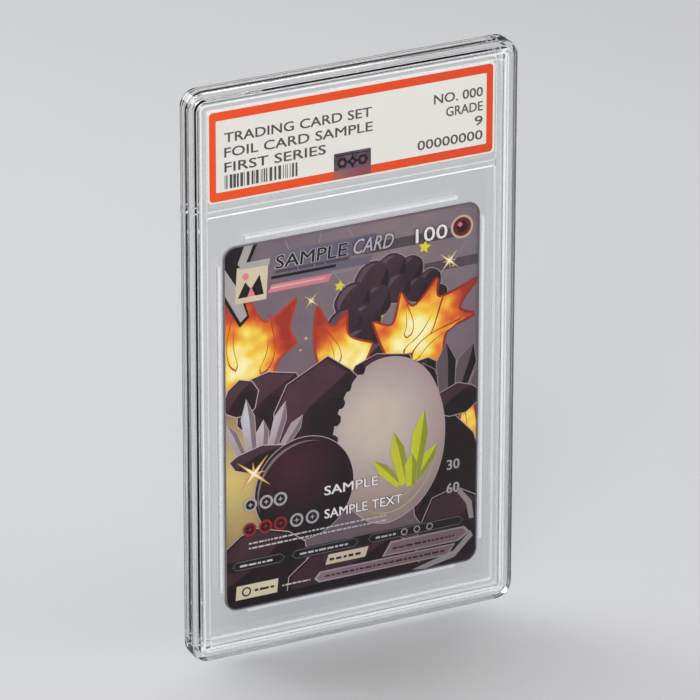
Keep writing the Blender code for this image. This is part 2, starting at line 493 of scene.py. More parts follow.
# -------- the two shells and their weld


def outer_rings(solid, side):
    """From the window over the stacking rim and round the outer edge to the meeting plane."""
    profile = [
        (4.80, FACE_LEVEL, 0),
        (4.25, FACE_LEVEL, 0.22),
        (3.85, RIM_LEVEL, 0.22),
        (2.92, RIM_LEVEL, 0.05),
        (2.70, RIM_LEVEL - 0.16, 0.10),
        (2.48, RIM_LEVEL, 0.05),
        (1.70, RIM_LEVEL, 0.22),
        (1.32, FACE_LEVEL, 0.20),
        (0.0, FACE_LEVEL, 0.50),
        (0.0, PLANE + 0.10, 0.06),
        (0.10, PLANE, 0),
    ]
    line = soften(profile, 5)
    loops = [solid.loop(slab_ring(inset), side * level) for inset, level in line]
    for at in range(len(line) - 1):
        middle = (line[at][0] + line[at + 1][0]) / 2
        solid.skin(loops[at : at + 2], slot=int(any(low < middle < high for low, high in FROSTED)))
    return loops


def joint_rings(solid, side, half, end):
    """The tongue or the groove of the weld joint, from its outer to its inner foot."""
    outer, inner = JOINT_INSET - half, JOINT_INSET + half
    profile = [(outer, PLANE, 0), (outer, end, 0.08), (inner, end, 0.08), (inner, PLANE, 0)]
    return [solid.loop(slab_ring(inset), side * level) for inset, level in soften(profile, 2)]


def chamber(solid, side, low, high, level, holes=()):
    """A pocket in a shell's inner face. Returns its mouth, and fills its floor round the holes."""
    half_width = SLAB_WIDTH / 2 - CHAMBER_INSET
    half_height = (high - low) / 2
    profile = [(0.10, PLANE, 0), (0.0, PLANE + 0.08, 0.04), (0.0, level, 0.12), (-0.5, level, 0)]
    loops = []
    for out, height in soften(profile, 3):
        radius = max(LEAST_RADIUS + out, 0.3)
        points = rounded_rectangle(half_width + out, half_height + out, radius, (0, (low + high) / 2))
        loops.append(solid.loop(points, side * height))
    solid.skin(loops[:-1], slot=1)
    solid.skin(loops[-2:])
    solid.fill([loops[-1], *holes])
    return loops[0]


def rib(solid, length, width, centre):
    """A round-topped rib that stands on the back shell's card chamber floor. Returns its foot."""
    profile = [(0.14, CARD_LEVEL, 0), (0, CARD_LEVEL - 0.14, 0.1), (0, RIB_CREST, 0.3), (-0.34, RIB_CREST, 0)]
    loops = []
    for out, y in soften(profile, 5):
        half = (length / 2 + out, width / 2 + out)
        loops.append(solid.loop(rounded_rectangle(*half, min(half) * 0.98, centre, 5), y))
    solid.skin(loops, slot=1)
    solid.fill([loops[-1]], slot=1)
    return loops[0]


def well_ribs(solid):
    side_at = CARD_HALF[0] + WELL_ROOM[0] + RIB_HALF
    end_at = CARD_HALF[1] + WELL_ROOM[1] + RIB_HALF
    feet = []
    for sign in (-1, 1):
        feet.append(rib(solid, RIB_LENGTHS[0], 2 * RIB_HALF, (0, WELL_CENTRE + sign * end_at)))
        feet.append(rib(solid, 2 * RIB_HALF, RIB_LENGTHS[1], (sign * side_at, WELL_CENTRE)))
    return feet


def make_shell(name, node, side, half, end, materials):
    solid = Solid()
    outer = outer_rings(solid, side)
    joint = joint_rings(solid, side, half, end)
    solid.fill([outer[0]])
    solid.skin([outer[-1], *joint])
    ribs = well_ribs(solid) if side == BACK else ()
    card = chamber(solid, side, CHAMBER_INSET, BAR_LOW, CARD_LEVEL, ribs)
    label = chamber(solid, side, BAR_HIGH, SLAB_HEIGHT - CHAMBER_INSET, LABEL_LEVEL)
    solid.fill([joint[-1], card, label])
    solid.finish(name, "case", "clear_polystyrene", materials, node)


def make_weld(material):
    """The weld's bead: a ring with a soft, nearly square section."""
    solid = Solid()
    low, high = in_mm("weld_seam")
    loops = []
    for step in range(BEAD_STEPS):
        angle = math.tau * step / BEAD_STEPS
        across, along = (math.copysign(abs(part) ** 0.5, part) for part in (math.cos(angle), math.sin(angle)))
        ring = slab_ring(JOINT_INSET + BEAD_HALF * across)
        loops.append(solid.loop(ring, (low.y + high.y) / 2 + (high.y - low.y) / 2 * along))
    solid.skin(loops, closed=True)
    solid.finish("weld_bead", "case", "frosted_weld", [material], "weld_seam")


# -------- shapes


def numbers(words, size=1):
    """The numbers in a text, or groups of size numbers."""
    values = [float(word) for word in words.split()]
    return list(zip(*(values[at::size] for at in range(size)))) if size > 1 else values


def path(*places):
    """A shape with straight sides through x, y, x, y and so on."""
    return list(zip(places[::2], places[1::2]))


def curve(*places):
    """A closed curve through x, y, x, y and so on. A point given twice makes a sharper corner."""
    points = [Vector(place) for place in path(*places)]
    steps = 8
    line = []
    for at, b in enumerate(points):
        a, c, d = (points[(at + k) % len(points)] for k in (-1, 1, 2))
        if b == c:
            continue
        for t in (step / steps for step in range(steps)):
            low = 0.5 * (2 * b + (c - a) * t + (2 * a - 5 * b + 4 * c - d) * t**2)
            line.append(tuple(low + 0.5 * (3 * b - a - 3 * c + d) * t**3))
    return line


def box(x0, y0, x1, y1, slant=0.0):
    """A rectangle, or with slant a parallelogram whose top edge is moved to the right."""
    return [(x0 + slant, y0), (x1 + slant, y0), (x1, y1), (x0, y1)]


def oval(x, y, wide, high=None, steps=40):
    turns = [math.tau * step / steps for step in range(int(steps))]
    return [(x + wide * math.cos(turn), y + (high or wide) * math.sin(turn)) for turn in turns]


def star(x, y, arm, waist, tips=4, degrees=0.0):
    points = []
    for step in range(2 * int(tips)):
        reach = waist if step % 2 else arm
        angle = math.radians(degrees) + math.pi * step / tips
        points.append((x + reach * math.sin(angle), y - reach * math.cos(angle)))
    return points


def tongue(base, tip, width, sway):
    """A flame's tongue from its round base to its tip."""
    steps = 14
    axis = tip - base
    across = Vector((-axis.y, axis.x)).normalized()
    sides = ([], [])
    for step in range(steps + 1):
        t = step / steps
        half = width / 2 * min(1.0, math.sqrt(t / 0.12)) * (0.75 + 0.5 * t) * (1 - t) ** 0.8
        centre = base + axis * t + across * sway * math.sin(math.pi * 1.4 * t)
        sides[0].append(tuple(centre + across * half))
        sides[1].append(tuple(centre - across * half))
    return sides[0] + sides[1][-2:0:-1]


def crescent(x, y, reach, thick, degrees, tall=1.0):
    """A crescent on a circle's edge, round the side that lies degrees clockwise from straight up."""
    steps = 14
    outer, inner = [], []
    for step in range(steps + 1):
        share = 2 * step / steps - 1
        angle = math.radians(degrees) + share * 1.15
        depth = reach * thick * (1 - share**2) + 0.12 * (1 - abs(share))
        for line, away in ((outer, reach), (inner, reach - depth)):
            line.append((x + away * math.sin(angle), y - away * tall * math.cos(angle)))
    return outer + inner[-2:0:-1]


def rock(x, y, wide, high, seed, steps=48, rough=0.05):
    chance = random.Random(seed)
    waves = []
    for k in (2, 3, 5, 7, 11):
        waves.append((k, chance.uniform(-1, 1) * rough / k**0.6, chance.uniform(0, math.tau)))
    points = []
    for step in range(steps):
        angle = math.tau * step / steps
        reach = 1 + sum(size * math.sin(k * angle + phase) for k, size, phase in waves)
        points.append((x + wide * reach * math.cos(angle), y + high * reach * math.sin(angle)))
    return points


def grown(points, by):
    """A shape pushed outwards by a distance, for an outline under it."""
    count = len(points)
    area = sum(points[k - 1][0] * points[k][1] - points[k][0] * points[k - 1][1] for k in range(count))
    sign = 1 if area > 0 else -1
    made = []
    for at in range(count):
        along = Vector(points[(at + 1) % count]) - Vector(points[at - 1])
        if along.length > TINY:
            along.normalize()
            made.append((points[at][0] + sign * along.y * by, points[at][1] - sign * along.x * by))
    return made


# -------- sheets and their prints


def sheet_piece(name, node, material, front=None, back=None, steps=CORNER_STEPS):
    """A flat piece for a printed CAD sheet. front and back hold the inset and depth of a bevelled rim."""
    low, high = in_mm(node)
    body, slot, radius, *_ = SHEETS[node]
    rings = [(back[0], high.y), (0, high.y - back[1])] if back else [(0, high.y)]
    rings += [(0, low.y + front[1]), (front[0], low.y)] if front else [(0, low.y)]
    centre = ((low.x + high.x) / 2, (low.z + high.z) / 2)
    half = ((high.x - low.x) / 2, (high.z - low.z) / 2)
    solid = Solid()
    loops = []
    for inset, y in rings:
        points = rounded_rectangle(half[0] - inset, half[1] - inset, radius - inset, centre, steps)
        loops.append(solid.loop(points, y))
    solid.skin(loops)
    solid.fill([loops[0]])
    solid.fill([loops[-1]])
    solid.finish(name, body, slot, [material], node)


class Sheet(Solid):
    """Shapes of ink on one face of a CAD sheet, drawn in the sheet's own millimetres.

    Each shape lies just above every shape that is already under it, in whichever print of that face.
    A slot is an ink's place in the list that printed() makes.
    """

    stacks = {}

    def __init__(self, node="card_foil_film", side=FRONT):
        super().__init__()
        low, high = in_mm(node)
        self.body, self.slot, _, margin, radius = SHEETS[node]
        self.width, self.height = high.x - low.x, high.z - low.z
        self.left = low.x if side == FRONT else high.x
        self.across = -side
        self.top = high.z
        self.side = side
        self.face = low.y if side == FRONT else high.y
        self.stack = self.stacks.setdefault((node, side), [])
        self.limits = self.rim(margin, margin, radius, 6)[::-1]

    def rim(self, inset_x, inset_y, radius, steps=CORNER_STEPS):
        """A rounded outline inset from the sheet's sides and from its ends."""
        half = (self.width / 2, self.height / 2)
        points = rounded_rectangle(half[0] - inset_x, half[1] - inset_y, radius, (0, 0), steps)
        return [(half[0] + x, half[1] - z) for x, z in points]

    def world(self, points):
        return [(self.left + self.across * x, self.top - y) for x, y in points]

    def levels(self, points):
        """The near and far side of a shape with these corners, on top of what lies under it."""
        xs, ys = [point[0] for point in points], [point[1] for point in points]
        left, right, low, high = min(xs), max(xs), min(ys), max(ys)
        layer = 1
        for other, a, b, c, d in self.stack:
            if left <= b and a <= right and low <= d and c <= high:
                layer = max(layer, other + 1)
        self.stack.append((layer, left, right, low, high))
        far = self.face + self.side * layer * LAYER
        return far + self.side * INK, far

    def clip(self, points):
        """The shape without what lies outside the sheet's limits."""
        for (x0, y0), (x1, y1) in zip(self.limits[-1:] + self.limits[:-1], self.limits):
            if abs(x1 - x0) + abs(y1 - y0) < TINY:
                continue
            depth = [(x1 - x0) * (y - y0) - (y1 - y0) * (x - x0) for x, y in points]
            kept = []
            for at, here in enumerate(points):
                if (depth[at - 1] >= 0) != (depth[at] >= 0):
                    share = depth[at - 1] / (depth[at - 1] - depth[at])
                    before = points[at - 1]
                    kept.append(tuple(before[axis] + share * (here[axis] - before[axis]) for axis in (0, 1)))
                if depth[at] >= 0:
                    kept.append(here)
            points = kept
            if not points:
                return []
        return points

    def shapes(self, outlines, slot=0):
        """Shapes on one level, run together where they overlap."""
        outlines = [self.clip([tuple(point) for point in outline]) for outline in outlines]
        outlines = [self.world(outline) for outline in outlines if len(outline) > 2]
        if outlines:
            places = [point for outline in outlines for point in outline]
            self.plate(outlines, *self.levels(places), int(slot))

    def shape(self, outline, slot=0):
        self.shapes([outline], slot)

    def outlined(self, outline, slot, line, by):
        """A shape in one ink on a slightly larger one in another."""
        self.shape(grown(outline, by), line)
        self.shape(outline, slot)

    def draw(self, drawing):
        """Shapes in order, one to a line: slot, kind and numbers."""
        for line in drawing.strip().splitlines():
            slot, kind, words = line.split(maxsplit=2)
            self.shape(KINDS[kind](*numbers(words)), int(slot))

    def border(self, slot, outer, inner):
        """A ring between two outlines, each with its insets and its corner radius."""
        outer = self.world(self.rim(*outer))
        self.band(outer, self.world(self.rim(*inner)), *self.levels(outer), slot)

    def text(self, words, place, height, slot=0, align="LEFT", width=None, slant=0.0, bold=0.05):
        """Built-in lettering whose capitals are height tall, with its left or right end at place.

        It is drawn several times, moved by bold, to thicken its strokes.
        """
        font = bpy.data.curves.new("lettering", "FONT")
        font.body = words
        font.extrude = LETTER_DEPTH
        font.resolution_u = 3
        holder = placed("lettering", font)
        bpy.context.view_layer.update()
        mesh = bpy.data.meshes.new_from_object(holder.evaluated_get(bpy.context.evaluated_depsgraph_get()))
        letters = [vertex.co.copy() for vertex in mesh.vertices]
        first, last = min(co.x for co in letters), max(co.x for co in letters)
        scale = height / CAPITAL
        stretch = width / (last - first) if width else scale
        start = first if align == "LEFT" else last
        for polygon in mesh.polygons:
            polygon.material_index = slot
        for right, down in ((-1, 0.6), (1, 0.6), (-1, -0.6), (1, -0.6)):
            places = []
            for co in letters:
                x = place[0] + right * bold + (co.x - start) * stretch + co.y * scale * slant
                places.append((x, place[1] + down * bold - co.y * scale))
            places = self.world(places)
            near, far = self.levels(places)
            for vertex, co, (x, z) in zip(mesh.vertices, letters, places):
                vertex.co = Vector((x, near if co.z > 0 else far, z)) * MM
            self.work.from_mesh(mesh)
        bpy.data.objects.remove(holder)
        bpy.data.curves.remove(font)
        bpy.data.meshes.remove(mesh)

    def printed(self, name, table, inks=()):
        """Makes the print. Each line of the table is one more ink: its name, two colours and settings."""
        inks = list(inks)
        for line in table.strip().splitlines():
            ink_name, *words = line.split()
            values = [float(word) for word in words[:6]]
            settings = {key: float(value) for key, value in zip(words[6::2], words[7::2])}
            inks.append(ink(ink_name, values[:3], values[3:], **settings))
        bmesh.ops.remove_doubles(self.work, verts=self.work.verts, dist=MERGE)
        self.finish(name, self.body, self.slot, inks)


KINDS = {"box": box, "oval": oval, "star": star, "path": path, "curve": curve}


# -------- the card's front


def on_card(x, y):
    """A place on the card's front, as the (x, z) of the whole model."""
    low, high = in_mm("card_foil_film")
    return low.x + x, high.z - y


def gem(sheet, x, y, long, wide, turn, light, dark, line):
    """A crystal of two facets that stands on (x, y) and points along turn."""
    along = Vector((math.sin(turn), -math.cos(turn)))
    across = Vector((-along.y, along.x)) * wide / 2
    foot, tip = Vector((x, y)), Vector((x, y)) + along * long
    shoulder = foot + along * long * 0.66
    left, right = shoulder - across, shoulder + across * 0.9
    sheet.outlined([foot - across * 0.7, left, tip, right, foot + across * 0.7], light, line, 0.14)
    sheet.shape([foot + across * 0.1, shoulder + across * 0.15, tip, right, foot + across * 0.7], dark)


def crag(sheet, x, y, wide, high, seed, sides=9):
    """A boulder with flat facets that meet at a peak, lit from the upper left."""
    body, line, dim, lit = 0, 1, 2, 10
    chance = random.Random(int(seed))
    outline = []
    for side in range(sides):
        angle = math.tau * (side + chance.uniform(-0.3, 0.3)) / sides
        reach = chance.uniform(0.88, 1.08)
        outline.append((x + wide * reach * math.sin(angle), y - high * reach * math.cos(angle)))
    sheet.outlined(outline, body, line, 0.2)
    peak = (x - wide * chance.uniform(0.05, 0.3), y - high * chance.uniform(0.15, 0.35))
    facets = {lit: [], dim: []}
    for a, b in zip(outline, outline[1:] + outline[:1]):
        facing = (x - (a[0] + b[0]) / 2) / wide + (y - (a[1] + b[1]) / 2) / high
        if abs(facing) > 0.45:
            inner = [(end[0] * 0.94 + peak[0] * 0.06, end[1] * 0.94 + peak[1] * 0.06) for end in (a, b)]
            facets[lit if facing > 0 else dim].append([peak, *inner])
    for slot, triangles in facets.items():
        for triangle in triangles:
            sheet.shape(triangle, slot)


def card_film():
    sky = ink("sky_ink", (138, 118, 125), (108, 88, 96), 4, 60, 40, 8, paint=0.10, foil=0.35)
    sheet_piece("card_film", "card_foil_film", sky, front=(0.03, 0.008), back=(0.02, 0.004))


def card_sky():
    """Slanting light and a warm glow at the left."""
    sheet = Sheet()
    sheet.draw("""
        0 box 26 8.8 45 11.2 1.5
        1 box 34 5.4 60 7.8 1.5
        1 box 12 6.8 30 9.2 1.5
        1 box 45 12.8 64 15.2 1.5
        3 box 20 1 20.14 12 -5
        3 box 22 0 22.14 9 2
        3 box 30 3 30.14 15 -9
        3 box 49.6 8 49.74 24 11
        3 box 34 0 34.14 7 -4
        2 curve -2 33 -2 33 14 33 19 42 20 52 17 62 12 72 -2 78 -2 78
    """)
    sheet.printed("card_print_sky", """
        ash_ink 156 140 148 130 114 122 foil 0.4
        dusk_ink 96 80 90 84 68 78 turn 1.22173 paint 0.15 foil 0.3
        gold_ink 226 196 120 150 132 96 near 1 far 17 x 2 y 56 paint 0.08 foil 0.35
        hairline_ink 176 162 172 150 134 146 foil 0.4
    """)


def card_smoke():
    """A column of smoke that leans to the right."""
    sheet = Sheet()
    lobes = numbers("""
        53 20.6 2.2  50.8 17 2.8  46 13.4 3.2  47.4 18.6 3  41.2 12.8 4  42.6 17.4 3.6  36.6 14.2 4.4
        37.4 19.6 4  31.8 18.6 4.6  34.4 24 4.4  29.8 24.4 4.8  33 30 5  29 31.6 5.2  38 34.6 5.6
    """, 3)
    sheet.shapes([rock(x, y, reach + 0.24, reach + 0.24, 40, rough=0.04) for x, y, reach in lobes], 1)
    for x, y, reach in lobes:
        sheet.shape(rock(x, y, reach, reach, 40, rough=0.04), 0)
        sheet.shape(crescent(x, y, reach * 0.86, 0.34, -50), 3)
        sheet.shape(crescent(x, y, reach * 0.9, 0.42, 120), 2)
    sheet.printed("card_print_smoke", """
        smoke_ink 68 44 54 30 15 21 near 2 far 27 x 36 y 11 paint 0.28 foil 0.22
        smoke_line 196 172 178 150 132 142 foil 0.3
        smoke_shade 40 25 32 30 18 25 paint 0.2 foil 0.2
        smoke_light 106 84 94 84 64 74 paint 0.15 foil 0.35
    """)


def card_flames():
    """Fires with a dark red edge, tongues of flame in front of them, and sparks."""
    sheet = Sheet()
    edge, spark = 4, 5
    fires = (
        "-1 36 -1 36 -1 13 2.4 17.6 5.4 10.6 5.4 10.6 7.8 16.8 11 19.6 17.8 15.2 17.8 15.2 16 21.6 "
        "17.6 25.8 17.6 25.8 13.2 29 10.6 34.5 4 36.5",
        "24 33.5 22.4 26 23 18.4 23 18.4 26.4 23.8 30 20.8 30 20.8 30.6 26.6 36.4 29.6 36.4 29.6 "
        "33.6 34.5 28 36",
        "40 33 36.8 24.6 36.8 24.6 41.6 26 43.6 18.8 43.6 18.8 46.8 22.6 52.6 16.8 52.6 16.8 53.2 21.6 "
        "62.4 18.8 62.4 18.8 58 24.8 61.8 27.2 61.8 27.2 55 30 53.4 36 49 39.5 43.4 38.5",
        "54.6 62 56.2 52.6 56.2 52.6 57.8 55.6 60.8 43.4 60.8 43.4 62.4 52 63.5 62 59 64",
    )
    for slot, words in enumerate(fires):
        sheet.outlined(curve(*numbers(words)), slot, edge, 0.55)
    licks = numbers("""
        9 32 12.6 17.6 3.4 1.2 0  3 30 1.6 15.4 3 -0.8 0  44 34 55.6 21.4 4.2 1.4 2  46 36 58.4 26.6 3.6 -1 2
        45 30 45.6 21.4 3 0.6 2  28 33 25.4 23.6 2.8 0.6 1  58.6 60 60.2 48.4 2 0.5 3
    """, 7)
    for x0, y0, x1, y1, width, sway, slot in licks:
        base, tip = Vector((x0, y0)), Vector((x1, y1))
        near = base + (tip - base) * 0.04
        sheet.shape(tongue(base, tip, width, sway), edge)
        sheet.shape(tongue(near, tip * 0.94 + near * 0.06, width * 0.82, sway), slot)
    for x, y, reach in numbers("20.2 25.2 0.5  18.8 27.8 0.35  39 23.4 0.4  56.6 14.6 0.4  13 12.4 0.35", 3):
        sheet.shape(star(x, y, reach, reach * 0.5, 5), spark)
    hearts = numbers("4.5 27.5 13.5  30.5 31.5 11  47.5 29.5 16  59 57 13", 3)
    names = ("fire_left", "fire_middle", "fire_right", "fire_small")
    inks = [fire_ink(name, on_card(x, y), reach) for name, (x, y, reach) in zip(names, hearts)]
    sheet.printed("card_print_flames", """
        ember_ink 188 62 34 150 40 30 paint 0.15 foil 0.3
        spark_ink 250 196 96 244 168 70 foil 0.4
    """, inks)


def card_rocks():
    """Boulders, a pale polished stone, and crystals."""
    sheet = Sheet()
    line, shade, ball, pale, vein, lime, olive, white, grey = range(1, 10)
    boulders = numbers("""
        12 40 9.6 8.6 3  4.4 36.8 4.6 4.4 8  39 39 9 6.6 14  50.6 47 8.6 11.4 11
        24 44.6 11.8 13.6 6  55 66 9.4 16.6 17
    """, 5)
    for boulder in boulders:
        crag(sheet, *boulder)
    crystals = """
        4.4 50.6 9 2.8 -0.42  14.6 50 8 2.8 0.62  6.8 50.4 13.4 3.4 -0.1  11.6 50.4 11.6 3.2 0.3
        9.2 51.4 8.6 3.2 0.05
    """
    for crystal in numbers(crystals, 5):
        gem(sheet, *crystal, white, grey, line)
    crag(sheet, 8.8, 52.2, 7.6, 3.2, 5)
    crystals = "57.6 46 12.6 5 0.34  52.8 45 9 4 -0.42  55.2 46.4 13.6 5.2 -0.02  61 47 9 4.2 0.55"
    for crystal in numbers(crystals, 5):
        gem(sheet, *crystal, grey, shade, line)
    crag(sheet, 57.4, 47.4, 6.2, 4.0, 19)
    sheet.outlined(rock(40.6, 53.8, 14.0, 20.2, 12, 64, 0.016), pale, line, 0.2)
    chips = ((27.6, 46.4), (28.6, 42.4), (30.2, 38.6), (26.9, 51.4), (33.6, 35.2))
    sheet.shapes([rock(x, y, 1.1, 1.5, 50 + at, 14, 0.16) for at, (x, y) in enumerate(chips)], shade)
    for at in range(5):
        sheet.shape(crescent(40.6, 53.8, 12.6 - 1.7 * at, 0.02, 150 + 9 * at, 1.44), vein)
    crystals = """
        47.4 64.6 9.4 3 0.62  43.4 65.4 9.6 2.8 -0.74  46.8 65 17.4 4 0.16  44.8 65.4 13.6 3.6 -0.22
        46.2 66.2 8 3.2 0.02
    """
    for crystal in numbers(crystals, 5):
        gem(sheet, *crystal, lime, olive, vein)
    sheet.outlined(oval(19.6, 61.4, 12.2, 12.5, 64), ball, line, 0.16)
    sheet.shape(crescent(19.6, 61.4, 11.6, 0.05, -45), grey)
    for boulder in numbers("57.4 82 11 13 33  9 80.5 12 11.5 21  33 86 17 11 28", 5):
        crag(sheet, *boulder, 11)
    sheet.printed("card_print_rocks", """
        rock_ink 54 25 33 27 10 16 near 0 far 34 x 14 y 36 paint 0.24 foil 0.22
        outline_ink 206 180 186 170 150 160 foil 0.3
        shade_ink 36 16 23 26 10 16 paint 0.2 foil 0.2
        boulder_ink 68 26 40 25 9 14 near 1 far 13 x 17 y 56 paint 0.12 foil 0.25
        stone_ink 206 186 176 148 128 126 near 5 far 23 x 37.5 y 49 paint 0.05 foil 0.3
        vein_ink 176 168 112 168 156 130 foil 0.3
        crystal_ink 214 214 60 196 198 44 paint 0.08 foil 0.4
        crystal_dark 164 168 38 142 148 40 paint 0.08 foil 0.4
        quartz_ink 228 220 226 176 160 170 near 0 far 9 x 8 y 41 foil 0.45
        quartz_dark 134 116 124 100 82 90 foil 0.45
        facet_ink 82 48 60 58 32 42 near 0 far 60 x 14 y 30 paint 0.2 foil 0.25
    """)


def card_stars():
    sheet = Sheet()
    lean = math.degrees(0.7)
    for x, y, arm in numbers("21.4 16.4 2.4  55.6 13.2 3.2  7.2 55.4 5.4", 3):
        sheet.shape(star(x, y, arm, arm * 0.13, 4, lean), 0)
        sheet.shape(star(x, y, arm * 0.55, arm * 0.10, 4, lean + 45), 0)
        sheet.shape(star(x, y, arm * 0.5, arm * 0.09, 4, lean), 1)
    for x, y, arm in numbers("28.4 14.2 1.4  49.4 8.8 1.6", 3):
        sheet.shape(star(x, y, arm, arm * 0.5, 5, math.degrees(0.2)), 2)
    sheet.printed("card_print_stars", """
        star_gold 244 184 104 236 200 126 foil 0.5 gloss 0.3
        star_white 255 250 228 255 250 228 foil 0.3 gloss 0.3
        star_yellow 226 214 60 226 214 60 foil 0.3 gloss 0.3
    """)


def card_panels():
    """The card's bars, badge, rings and panels, and its edge line."""
    sheet = Sheet()
    sheet.draw("""
        1 box 0 76 63 78.6
        1 box 0 85.8 63 88
        1 path 0 0 8.6 0 4.2 9.5 6.4 17.5 4 19.6 0 12.2
        0 path 0 4.4 3.8 10.6 5.8 17 4.2 18.4 0 10.6
        0 path 5.4 0 7.6 0 4.8 6.4 3.6 4.4
        2 box 2.9 5.4 10.5 13.9 0.5
        1 path 3.6 12.6 5.4 9 6.8 10.9 8.9 7.8 9.9 12.6
        4 path 5.9 12.6 6.8 10.2 7.8 12.6
        4 oval 5.5 7.7 0.8
        0 box 4 4.4 11.2 5.9 0.3
        5 box 11.2 3.2 36 7.6 1.6
        5 box 11.4 8.3 35.6 10.2 0.9
        1 box 11.6 8.8 27.4 9.5 0.2
        4 box 10.8 10.8 25.6 12.6 1
        2 box 11.6 11.4 24.6 11.75 0.3
        2 oval 58.7 5.6 2.8
        3 oval 58.7 5.6 2.25
        1 oval 58.7 5.6 1.5 1.5 6
        4 oval 58.2 5 0.55
    """)
    rows = (((6.3, 10.2, 13.7), 62.8, 0), ((6.1, 10.0, 13.7), 68.8, 3), ((17.7, 21.6), 68.8, 0))
    for places, y, slot in rows:
        for x in places:
            sheet.shape(oval(x, y, 1.66), slot)
            sheet.shape(oval(x, y, 1.12), 1)
            sheet.shape(star(x, y, 0.7, 0.25), slot)
    for x0, x1 in ((1.9, 14.6), (16.6, 33.0), (35.6, 59.4)):
        bar = path(x0, 77.3, x0 + 0.9, 76.4, x1 - 0.9, 76.4, x1, 77.3, x1 - 0.9, 78.2, x0 + 0.9, 78.2)
        sheet.outlined(bar, 1, 5, 0.16)
    for x in (44.6, 47.8, 51.0):
        sheet.shape(oval(x, 77.3, 0.86, 0.86, 20), 0)
        sheet.shape(oval(x, 77.3, 0.55, 0.55, 20), 1)
    sheet.draw("""
        2 box 24.8 79 34.8 81.4 0.8
        0 path 39 82.4 41.2 79 59.8 79 61.2 80.6 58.4 82.4
        6 path 39.7 82.1 41.5 79.4 59.4 79.4 60.4 80.6 58 82.1
        0 path 22 84.3 23.4 82.8 57.6 82.8 55.6 85.4 23.2 85.4
        6 path 22.7 84.3 23.7 83.1 57 83.1 55.4 85.1 23.5 85.1
        0 path 46.5 87.2 57 84.6 61.4 80.4 62 81.8 57.4 86.2 50 87.6
        0 path 57.2 69.2 58.4 69 61.6 73 62.2 77.4 61 77.4 60.2 73.4
        2 box 2.5 82.2 12.8 85.6 0.3
        1 oval 5.2 83.9 1.15
        2 oval 5.2 83.9 0.78
    """)
    sheet.border(5, (0, 0, 3.0), (0.38, 0.38, 2.62))
    sheet.printed("card_print_panels", """
        silver_ink 188 178 184 150 140 148 foil 0.6 gloss 0.3
        black_ink 20 14 17 28 19 23 foil 0.15
        cream_ink 214 198 170 190 172 148 paint 0.06 foil 0.2
        red_ink 150 30 40 112 18 30 paint 0.1 foil 0.4
        pink_ink 230 128 150 214 108 132 foil 0.3
        grey_ink 122 112 128 106 96 110 foil 0.5
        mauve_ink 150 124 130 118 92 100 foil 0.4
    """)


def card_lettering():
    """Generic lettering, and rows of dashes where small print would be."""
    sheet = Sheet()
    white, black, silver = range(3)

    def lined(words, place, height, top, under, **settings):
        sheet.text(words, place, height, under, bold=0.2, **settings)
        sheet.text(words, place, height, top, **settings)

    lined("SAMPLE", (12.6, 7.1), 3.2, black, silver, width=17.4, slant=0.10)
    lined("CARD", (31.4, 7.2), 3.6, silver, black, width=9.8, slant=0.24)
    lined("100", (54.9, 7.4), 3.5, white, black, align="RIGHT", width=7.8)
    lined("30", (58.4, 64.2), 2.5, silver, black, align="RIGHT")
    lined("60", (58.4, 70.0), 2.5, silver, black, align="RIGHT")
    lined("SAMPLE", (24.6, 64.2), 2.3, white, black, width=13.4)
    lined("SAMPLE TEXT", (24.6, 69.9), 2.3, white, black, width=19.4)
    chance = random.Random(7)
    rows = numbers("""
        5.8 40 72.4 0.42 2  5.8 40 73.6 0.42 2  41.6 57.2 81.1 0.5 1  24.6 54.8 84.4 0.5 1
        25.8 33.6 80.6 0.7 1  3.6 11.6 77.6 0.5 2  18.4 30.4 77.6 0.5 2  37.4 42.4 77.6 0.5 2
        7.2 12 84.2 0.6 1  14 21 84.4 0.4 2
    """, 5)
    for x0, x1, y, tall, slot in rows:
        dashes = []
        while x0 < x1:
            long = min(chance.uniform(0.5, 1.9) * tall / 0.5, x1 - x0)
            dashes.append(box(x0, y - tall * chance.uniform(0.8, 1.0), x0 + long, y, 0.05))
            x0 += long + 0.7 * tall
        sheet.shapes(dashes, slot)
    sheet.printed("card_print_lettering", """
        letter_white 232 224 226 232 224 226 foil 0.2
        letter_black 34 24 28 34 24 28 foil 0.1
        letter_silver 216 208 214 176 168 178 foil 0.5 gloss 0.3
    """)


# -------- the card's back


